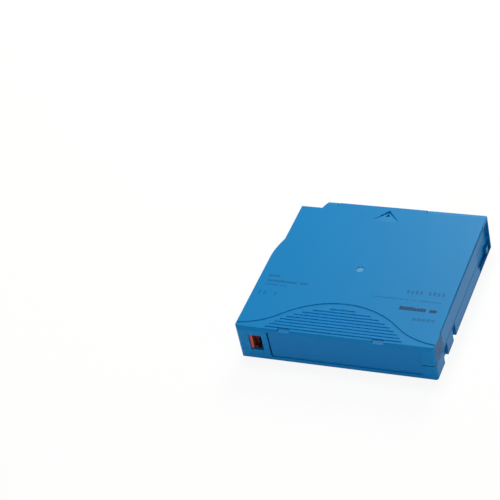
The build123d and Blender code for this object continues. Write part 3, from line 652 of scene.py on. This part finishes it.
def winding_points(settings, half_width, half_length):
    """Centre line of a flat spiral of rounded rectangles, in the plane Z = 0.

    Its outline is a superellipse: x is the half width times the signed power of the cosine
    and y the half length times the signed power of the sine. Both shrink evenly with each
    turn by the winding's pitch.
    """
    share = np.linspace(0.0, 1.0, settings.winding_turns * WINDING_STEPS + 1)
    angle = share * settings.winding_turns * 2 * np.pi
    inset = share * settings.winding_turns * settings.winding_pitch
    x, y = (np.sign(wave) * np.abs(wave) ** WINDING_POWER for wave in (np.cos(angle), np.sin(angle)))
    return np.stack([x * (half_width - inset), y * (half_length - inset), 0 * x], axis=1)


# Settings


class CaseSettings(bpy.types.PropertyGroup):
    blue: bpy.props.FloatVectorProperty(
        name="Case blue", description="Colour of the shells and the door",
        default=(0.0, 0.2, 0.515), subtype="COLOR", size=3, min=0.0, max=1.0,
    )
    panel_blue: bpy.props.FloatVectorProperty(
        name="Panel blue", description="Deeper blue of the smooth label recess",
        default=(0.0, 0.185, 0.5), subtype="COLOR", size=3, min=0.0, max=1.0,
    )
    ink: bpy.props.FloatVectorProperty(
        name="Ink", description="Colour of the printed bars",
        default=(0.0, 0.03, 0.11), subtype="COLOR", size=3, min=0.0, max=1.0,
    )
    gate: bpy.props.FloatVectorProperty(
        name="Gate mark", description="Paler blue of the round gate mark on top",
        default=(0.25, 0.5, 0.75), subtype="COLOR", size=3, min=0.0, max=1.0,
    )
    # Painted light: the paler blue that stands in for light on the grip area's steps and grooves
    rib: bpy.props.FloatVectorProperty(
        name="Rib blue", description="Clearer blue in the grooves of the grip area",
        default=(0.0, 0.36, 0.85), subtype="COLOR", size=3, min=0.0, max=1.0,
    )
    # Painted shade: the dark blue that stands in for shade in the sunk lines and between the dots
    seam: bpy.props.FloatVectorProperty(
        name="Seam", description="Dark blue in the sunk lines and between the dots",
        default=(0.0, 0.035, 0.12), subtype="COLOR", size=3, min=0.0, max=1.0,
    )
    ink_cover: bpy.props.FloatProperty(
        name="Ink cover", description="Share of the plastic that the ink hides",
        default=0.8, min=0.0, max=1.0, subtype="FACTOR",
    )
    red: bpy.props.FloatVectorProperty(
        name="Tab red", description="Colour of the write-protect tab",
        default=(0.45, 0.05, 0.022), subtype="COLOR", size=3, min=0.0, max=1.0,
    )
    # Painted shade: the darker red that stands in for shade where the tab lies deep in its window
    deep_red: bpy.props.FloatVectorProperty(
        name="Hollow red", description="Darker red in the tab's hollow",
        default=(0.05, 0.008, 0.01), subtype="COLOR", size=3, min=0.0, max=1.0,
    )
    roughness: bpy.props.FloatProperty(
        name="Roughness", description="Roughness of the satin plastic",
        default=0.42, min=0.05, max=1.0, subtype="FACTOR",
    )
    gloss: bpy.props.FloatProperty(
        name="Gloss", description="Strength of the satin plastic's reflections",
        default=0.12, min=0.0, max=1.0, subtype="FACTOR",
    )
    grain: bpy.props.FloatProperty(
        name="Grain", description="Size of the moulded grain",
        default=0.28 * MM, min=0.05 * MM, max=2 * MM, subtype="DISTANCE", unit="LENGTH",
    )
    edge: bpy.props.FloatProperty(
        name="Edge", description="Radius that the moulded edges seem to have",
        default=0.32 * MM, min=0.0, max=1 * MM, subtype="DISTANCE", unit="LENGTH",
    )


class ReelSettings(bpy.types.PropertyGroup):
    reel: bpy.props.FloatVectorProperty(
        name="Reel", description="Colour of the hub and the upper flange",
        default=(0.5, 0.53, 0.56), subtype="COLOR", size=3, min=0.0, max=1.0,
    )
    bearing: bpy.props.FloatVectorProperty(
        name="Bearing plastic", description="Colour of the brake and the release pad",
        default=(0.72, 0.7, 0.62), subtype="COLOR", size=3, min=0.0, max=1.0,
    )
    film: bpy.props.FloatVectorProperty(
        name="Film", description="Colour of the tape",
        default=(0.018, 0.013, 0.011), subtype="COLOR", size=3, min=0.0, max=1.0,
    )
    clip: bpy.props.FloatVectorProperty(
        name="Clip", description="Colour of the clip on the leader pin",
        default=(0.03, 0.03, 0.034), subtype="COLOR", size=3, min=0.0, max=1.0,
    )
    steel: bpy.props.FloatVectorProperty(
        name="Steel", description="Colour of the bright steel pieces",
        default=(0.6, 0.6, 0.61), subtype="COLOR", size=3, min=0.0, max=1.0,
    )


class SmallPartSettings(bpy.types.PropertyGroup):
    recess: bpy.props.FloatProperty(
        name="Drive recess", description="Mean radius of the screws' six-lobed recess",
        default=0.78 * MM, min=0.1 * MM, max=2 * MM, subtype="DISTANCE", unit="LENGTH",
    )
    recess_depth: bpy.props.FloatProperty(
        name="Recess depth", description="Depth of the screws' drive recess",
        default=0.8 * MM, min=0.1 * MM, max=2 * MM, subtype="DISTANCE", unit="LENGTH",
    )
    lobe_share: bpy.props.FloatProperty(
        name="Lobes", description="How far the lobes swing, as a share of the recess radius",
        default=0.16, min=0.0, max=0.4, subtype="FACTOR",
    )
    thread_pitch: bpy.props.FloatProperty(
        name="Thread pitch", description="Rise of the screws' thread in one turn",
        default=0.9 * MM, min=0.2 * MM, max=2 * MM, subtype="DISTANCE", unit="LENGTH",
    )
    thread_depth: bpy.props.FloatProperty(
        name="Thread depth", description="Height of the screws' thread over its core",
        default=0.24 * MM, min=0.0, max=1 * MM, subtype="DISTANCE", unit="LENGTH",
    )
    screw: bpy.props.FloatVectorProperty(
        name="Screw steel", description="Colour of the case screws",
        default=(0.36, 0.36, 0.37), subtype="COLOR", size=3, min=0.0, max=1.0,
    )
    door_turns: bpy.props.IntProperty(
        name="Door spring turns", description="Turns of the door's spring",
        default=22, min=4, max=60,
    )
    brake_turns: bpy.props.IntProperty(
        name="Brake spring turns", description="Turns of the brake's spring",
        default=5, min=3, max=20,
    )
    wire: bpy.props.FloatVectorProperty(
        name="Spring wire", description="Colour of the coil springs",
        default=(0.5, 0.5, 0.52), subtype="COLOR", size=3, min=0.0, max=1.0,
    )
    winding_turns: bpy.props.IntProperty(
        name="Winding turns", description="Turns of the memory board's antenna",
        default=6, min=2, max=20,
    )
    winding_pitch: bpy.props.FloatProperty(
        name="Winding pitch", description="Distance between the antenna's turns",
        default=0.24 * MM, min=0.05 * MM, max=1 * MM, subtype="DISTANCE", unit="LENGTH",
    )
    copper: bpy.props.FloatVectorProperty(
        name="Winding copper", description="Colour of the antenna's wire",
        default=(0.62, 0.24, 0.1), subtype="COLOR", size=3, min=0.0, max=1.0,
    )
    board: bpy.props.FloatVectorProperty(
        name="Board", description="Colour of the memory board",
        default=(0.012, 0.1, 0.035), subtype="COLOR", size=3, min=0.0, max=1.0,
    )
    resin: bpy.props.FloatVectorProperty(
        name="Chip resin", description="Colour of the memory chip",
        default=(0.02, 0.02, 0.022), subtype="COLOR", size=3, min=0.0, max=1.0,
    )


class StageSettings(bpy.types.PropertyGroup):
    azimuth: bpy.props.FloatProperty(
        name="Camera azimuth", description="Turn of the camera round the cartridge",
        default=math.radians(29.4206), subtype="ANGLE", unit="ROTATION",
    )
    elevation: bpy.props.FloatProperty(
        name="Camera elevation", description="Height of the camera over the horizon",
        default=math.radians(38.8853), subtype="ANGLE", unit="ROTATION",
    )
    roll: bpy.props.FloatProperty(
        name="Camera roll", description="Tilt of the camera about its own line of sight",
        default=math.radians(-13.7222), subtype="ANGLE", unit="ROTATION",
    )
    place: bpy.props.FloatVectorProperty(
        name="Camera place", description="Where the camera stands",
        default=(0.298526, -0.639114, 0.619019), subtype="TRANSLATION", unit="LENGTH", size=3,
    )
    lens: bpy.props.FloatProperty(
        name="Lens", description="Focal length in millimetres on a 36 mm sensor",
        default=129.03, min=10.0, max=400.0,
    )
    sky: bpy.props.FloatProperty(
        name="Sky", description="Strength of the even light from all round",
        default=0.16, min=0.0, max=3.0,
    )
    under: bpy.props.FloatProperty(
        name="From below", description="Strength of the light that reaches the underside",
        default=0.8, min=0.0, max=3.0,
    )
    backdrop: bpy.props.FloatProperty(
        name="Backdrop", description="Sine of the elevation up to which the backdrop is white",
        default=0.45, min=0.0, max=1.0,
    )
    key: bpy.props.FloatProperty(
        name="Key lamp", description="Power of the soft box over the cartridge",
        default=3.5, min=0.0, max=100.0, unit="POWER",
    )
    rear: bpy.props.FloatProperty(
        name="Rear lamp", description="Power of the soft box behind the leading end",
        default=7.6, min=0.0, max=100.0, unit="POWER",
    )
    rear_tint: bpy.props.FloatVectorProperty(
        name="Rear lamp tint", description="Slight warmth of the rear soft box",
        default=(0.95, 1.0, 0.78), subtype="COLOR", size=3, min=0.0, max=1.0,
    )
    front: bpy.props.FloatProperty(
        name="Front lamp", description="Power of the low soft box before the label end",
        default=2.1, min=0.0, max=100.0, unit="POWER",
    )
    side: bpy.props.FloatProperty(
        name="Side lamp", description="Power of the low soft box beside the right wall",
        default=1.1, min=0.0, max=100.0, unit="POWER",
    )


# Operators


def dress(material, *nodes):
    """Gives carried-over nodes their finish."""
    for node in nodes:
        for slot in frame["nodes"][node].material_slots:
            slot.material = material


def middle(node):
    """Centre of a node's box."""
    low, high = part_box(node)
    return (low + high) / 2


def travel(name):
    """How far a sliding joint moves from rest."""
    return next(joint for joint in frame["joints"] if joint["name"] == name)["range_m"][1]


class CARTRIDGE_OT_case(bpy.types.Operator):
    """Dress both shells, the door and the write-protect tab"""

    bl_idname = "cartridge.case"
    bl_label = "Case"

    def execute(self, context):
        settings = context.scene.cartridge_case
        dress(case_plastic(settings), "upper_shell", "lower_shell", "door")
        dress(tab_plastic(settings), "write_protect_tab")
        return {"FINISHED"}


class CARTRIDGE_OT_reel(bpy.types.Operator):
    """Dress the reel, its brake, the release pad and the steel plate"""

    bl_idname = "cartridge.reel"
    bl_label = "Reel"

    def execute(self, context):
        case = context.scene.cartridge_case
        settings = context.scene.cartridge_reel
        hub = moulded_plastic("reel_grey_plastic", settings.reel, 0.4, case.grain, case.edge)
        dress(hub, "reel_hub", "upper_flange")
        brake = moulded_plastic("bearing_plastic", settings.bearing, 0.34, case.grain, case.edge)
        dress(brake, "brake_gear", "release_pad")
        plate = turned_metal("plate_steel", settings.steel, 0.3, REEL_AXIS, 0.12 * MM)
        dress(plate, "reel_plate")
        return {"FINISHED"}


class CARTRIDGE_OT_tape(bpy.types.Operator):
    """Dress the wound tape, its free end, the leader pin, its clip and its leaf spring"""

    bl_idname = "cartridge.tape"
    bl_label = "Tape and leader pin"

    def execute(self, context):
        case = context.scene.cartridge_case
        settings = context.scene.cartridge_reel
        dress(wound_tape(settings), "tape_pack", "tape_end")
        pin = middle("leader_pin")
        turned = turned_metal("pin_steel", settings.steel, 0.24, (pin.x, pin.y), 0.08 * MM)
        dress(turned, "leader_pin")
        dress(drawn_metal("leaf_steel", settings.steel, 0.3), "pin_spring")
        clip = moulded_plastic("clip_black_plastic", settings.clip, 0.4, case.grain, 0.1 * MM)
        dress(clip, "tape_clip")
        return {"FINISHED"}


class CARTRIDGE_OT_springs(bpy.types.Operator):
    """Build the door's and the brake's coil springs"""

    bl_idname = "cartridge.springs"
    bl_label = "Coil springs"

    def execute(self, context):
        settings = context.scene.cartridge_small
        wire = drawn_metal("spring_wire_steel", settings.wire, 0.28)
        self.door_spring(settings, wire)
        self.brake_spring(settings, wire)
        return {"FINISHED"}

    def door_spring(self, settings, wire):
        low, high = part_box("door_spring")
        length = high.y - low.y
        coil = Coil((high.x - low.x) / 2 - DOOR_WIRE, DOOR_WIRE, length, settings.door_turns)
        start = (middle("door_spring").x, low.y, middle("door_spring").z)
        ways = ((0, 0, 1), (1, 0, 0), (0, 1, 0))
        spring = coil_piece("door_spring_coil", start, ways, coil, wire)
        keep = 1 - travel("door_slide") / length
        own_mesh(spring)
        self.carry(spring, "door_spring")

    def brake_spring(self, settings, wire):
        low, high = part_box("brake_spring")
        length = high.z - low.z
        coil = Coil((high.x - low.x) / 2 - BRAKE_WIRE, BRAKE_WIRE, length, settings.brake_turns)
        spring = coil_piece("brake_spring_coil", (*REEL_AXIS, low.z), np.identity(3), coil, wire)
        keep = 1 - travel("brake_lift") / length
        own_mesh(spring)
        self.carry(spring, "brake_spring")

    def carry(self, spring, node):
        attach(spring, "case")
        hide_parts(node)


class CARTRIDGE_OT_screws(bpy.types.Operator):
    """Build the four case screws with their drive recesses and threads"""

    bl_idname = "cartridge.screws"
    bl_label = "Screws"

    def execute(self, context):
        settings = context.scene.cartridge_small
        mesh = frame["nodes"]["case_screws"].data
        points = np.empty(len(mesh.vertices) * 3)
        mesh.vertices.foreach_get("co", points)
        points = points.reshape(-1, 3)
        steel = drawn_metal("screw_steel", settings.screw, 0.3)
        for side_x, hand in ((-1, "left"), (1, "right")):
            for side_y, end in ((-1, "label"), (1, "lead")):
                near = (points[:, 0] * side_x > 0) & (points[:, 1] * side_y > 0)
                self.screw(settings, f"screw_{end}_{hand}", points[near], steel)
        return {"FINISHED"}

    def screw(self, settings, name, solid, steel):
        """One screw in the place of its plain solid. The solid's points lie at three levels:
        the head's face, the head's underside and the shaft's end."""
        low, high = solid.min(axis=0), solid.max(axis=0)
        above = solid[solid[:, 2] > low[2] + ONE_LEVEL]
        underside = above[:, 2].min()
        end_ring = above[above[:, 2] > underside + ONE_LEVEL]
        head = (high[0] - low[0]) / 2, underside - low[2]
        shaft = np.ptp(end_ring[:, 0]) / 2, high[2] - underside
        points, quads, caps = screw_points(settings, *head, *shaft)
        place = np.array([(low[0] + high[0]) / 2, (low[1] + high[1]) / 2, low[2]])
        screw = make_piece(name, points + place, quads, steel, caps)
        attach(screw, "case")
        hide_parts("case_screws")


class CARTRIDGE_OT_memory(bpy.types.Operator):
    """Dress the memory board and chip, and build the wound antenna"""

    bl_idname = "cartridge.memory"
    bl_label = "Memory board"

    def execute(self, context):
        case = context.scene.cartridge_case
        settings = context.scene.cartridge_small
        dress(board_lacquer(settings), "memory_board")
        chip = moulded_plastic("chip_black_resin", settings.resin, 0.45, case.grain, 0.08 * MM)
        dress(chip, "memory_chip")
        low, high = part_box("memory_coil")
        half_width = (high.x - low.x) / 2 - WINDING_ROOM[0]
        half_length = (high.y - low.y) / 2 / math.cos(BOARD_TILT) - WINDING_ROOM[1]
        path = winding_points(settings, half_width, half_length)
        ahead = np.gradient(path, axis=0)
        ahead /= np.linalg.norm(ahead, axis=1)[:, None]
        up = np.broadcast_to(UP, ahead.shape)
        points, quads = wire_tube(path, np.cross(up, ahead), up, *WINDING_WIRE, WINDING_SIDES)
        turn = np.array(Matrix.Rotation(-BOARD_TILT, 3, "X").transposed())
        points = points @ turn + np.array(middle("memory_coil"))
        copper = drawn_metal("winding_copper", settings.copper, 0.3)
        caps = end_caps(len(path), WINDING_SIDES)
        winding = make_piece("antenna_winding", points, quads, copper, caps)
        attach(winding, "case")
        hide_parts("memory_coil")
        return {"FINISHED"}


class CARTRIDGE_OT_stage(bpy.types.Operator):
    """Make the white floor, the soft lamps, the sky and the camera"""

    bl_idname = "cartridge.stage"
    bl_label = "Stage"

    def execute(self, context):
        settings = context.scene.cartridge_stage
        self.floor()
        self.sky(context.scene, settings)
        self.lamp("key_soft_box", settings.key, place=(-0.15, 0.25, 0.85), size=0.25)
        self.lamp("rear_soft_box", settings.rear, (0.0, 0.84, 0.58), 0.42, settings.rear_tint)
        self.lamp("front_soft_box", settings.front, place=(-0.1, -0.9, 0.35), size=0.5)
        self.lamp("side_soft_box", settings.side, place=(0.9, -0.1, 0.3), size=0.5)
        self.camera(context.scene, settings)
        context.scene.view_settings.view_transform = "Standard"
        return {"FINISHED"}

    def floor(self):
        """White floor, open under the case so that its underside shows from below.

        The inner ring of points runs just inside the case's outline. Each outer point is the
        inner one moved straight out until the larger of its x and y is the floor's half.
        """
        inner = np.array(FLOOR_OPENING)
        outer = inner * (FLOOR_HALF / np.abs(inner).max(axis=1))[:, None]
        flat = np.concatenate([inner, outer])
        points = np.column_stack([flat, np.full(len(flat), BOTTOM)])
        finish = Finish("floor_white")
        coordinates, *_ = finish.place()
        paper = finish.noise(coordinates, PAPER_SCALE)
        white = finish.mix(paper * 0.03, (0.95, 0.95, 0.95), (0.88, 0.89, 0.9))
        matt = finish.node("ShaderNodeBsdfDiffuse", {}, Color=white)
        glow = finish.node("ShaderNodeEmission", {}, Color=WHITE, Strength=1.0)
        mixed = finish.node("ShaderNodeMixShader", {}, finish.seen() * FLOOR_GLOW, matt, glow)
        quads = ring_faces(2, len(inner))[:, ::-1]
        make_piece("floor", points, quads, finish.close(mixed))

    def sky(self, scene, settings):
        """Even light from all round, more from below, and a white backdrop to look at."""
        studio = Finish("studio", bpy.data.worlds.new("studio"))
        scene.world = studio.owner
        toward = studio.node("ShaderNodeTexCoord", {}).output("Generated")
        height = studio.node("ShaderNodeSeparateXYZ", {}, toward).output("Z")
        strength = settings.sky + settings.under * (height < UNDER_SINE)
        even = studio.node("ShaderNodeBackground", {}, Color=WHITE, Strength=strength)
        backdrop = studio.node("ShaderNodeBackground", {}, Color=WHITE, Strength=1.0)
        share = studio.seen() * (height < settings.backdrop)
        mixed = studio.node("ShaderNodeMixShader", {}, share, even, backdrop)
        studio.node("ShaderNodeOutputWorld", {}, mixed)

    def lamp(self, name, power, place, size, tint=WHITE):
        """A soft box that looks at the origin."""
        light = bpy.data.lights.new(name, "AREA")
        light.energy = power
        light.color = tint
        light.size = size
        lamp = bpy.data.objects.new(name, light)
        lamp.location = place
        lamp.rotation_euler = (-Vector(place)).to_track_quat("-Z", "Y").to_euler()
        bpy.context.scene.collection.objects.link(lamp)

    def camera(self, scene, settings):
        """The camera's back axis points from azimuth and elevation, and its side axes are
        the level ones turned by the roll."""
        level = math.cos(settings.elevation)
        back = Vector((
            math.sin(settings.azimuth) * level,
            -math.cos(settings.azimuth) * level,
            math.sin(settings.elevation),
        ))
        right = Vector((0, 0, 1)).cross(back).normalized()
        up = back.cross(right)
        roll = settings.roll
        side = math.cos(roll) * right + math.sin(roll) * up
        rise = math.cos(roll) * up - math.sin(roll) * right
        camera = bpy.data.objects.new("camera", bpy.data.cameras.new("camera"))
        camera.data.lens = settings.lens
        camera.data.sensor_width = 36.0
        camera.data.clip_start = 0.01
        camera.matrix_world = Matrix.Translation(Vector(settings.place)) @ Matrix((
            (side.x, rise.x, back.x, 0), (side.y, rise.y, back.y, 0),
            (side.z, rise.z, back.z, 0), (0, 0, 0, 1),
        ))
        scene.collection.objects.link(camera)
        scene.camera = camera


class CARTRIDGE_PT_panel(bpy.types.Panel):
    """Sidebar panel that lists the cartridge's pieces"""

    bl_label = "Data tape cartridge"
    bl_idname = "CARTRIDGE_PT_panel"
    bl_space_type = "VIEW_3D"
    bl_region_type = "UI"
    bl_category = "Cartridge"

    def draw(self, context):
        for operator in OPERATORS:
            self.layout.operator(operator.bl_idname)
        for name in SETTINGS:
            settings = getattr(context.scene, name)
            box = self.layout.box()
            for key in settings.__annotations__:
                box.prop(settings, key)


SETTINGS = {
    "cartridge_case": CaseSettings,
    "cartridge_reel": ReelSettings,
    "cartridge_small": SmallPartSettings,
    "cartridge_stage": StageSettings,
}
OPERATORS = (
    CARTRIDGE_OT_case,
    CARTRIDGE_OT_reel,
    CARTRIDGE_OT_tape,
    CARTRIDGE_OT_springs,
    CARTRIDGE_OT_screws,
    CARTRIDGE_OT_memory,
    CARTRIDGE_OT_stage,
)


def register():
    for settings in SETTINGS.values():
        bpy.utils.register_class(settings)
    for operator in OPERATORS:
        bpy.utils.register_class(operator)
    bpy.utils.register_class(CARTRIDGE_PT_panel)
    for name, settings in SETTINGS.items():
        setattr(bpy.types.Scene, name, bpy.props.PointerProperty(type=settings))


def unregister():
    for name in SETTINGS:
        delattr(bpy.types.Scene, name)
    bpy.utils.unregister_class(CARTRIDGE_PT_panel)
    for operator in reversed(OPERATORS):
        bpy.utils.unregister_class(operator)
    for settings in reversed(SETTINGS.values()):
        bpy.utils.unregister_class(settings)


def main():
    register()
    bpy.ops.cartridge.case()
    bpy.ops.cartridge.reel()
    bpy.ops.cartridge.tape()
    bpy.ops.cartridge.springs()
    bpy.ops.cartridge.screws()
    bpy.ops.cartridge.memory()
    bpy.ops.cartridge.stage()


if __name__ == "__main__":
    main()
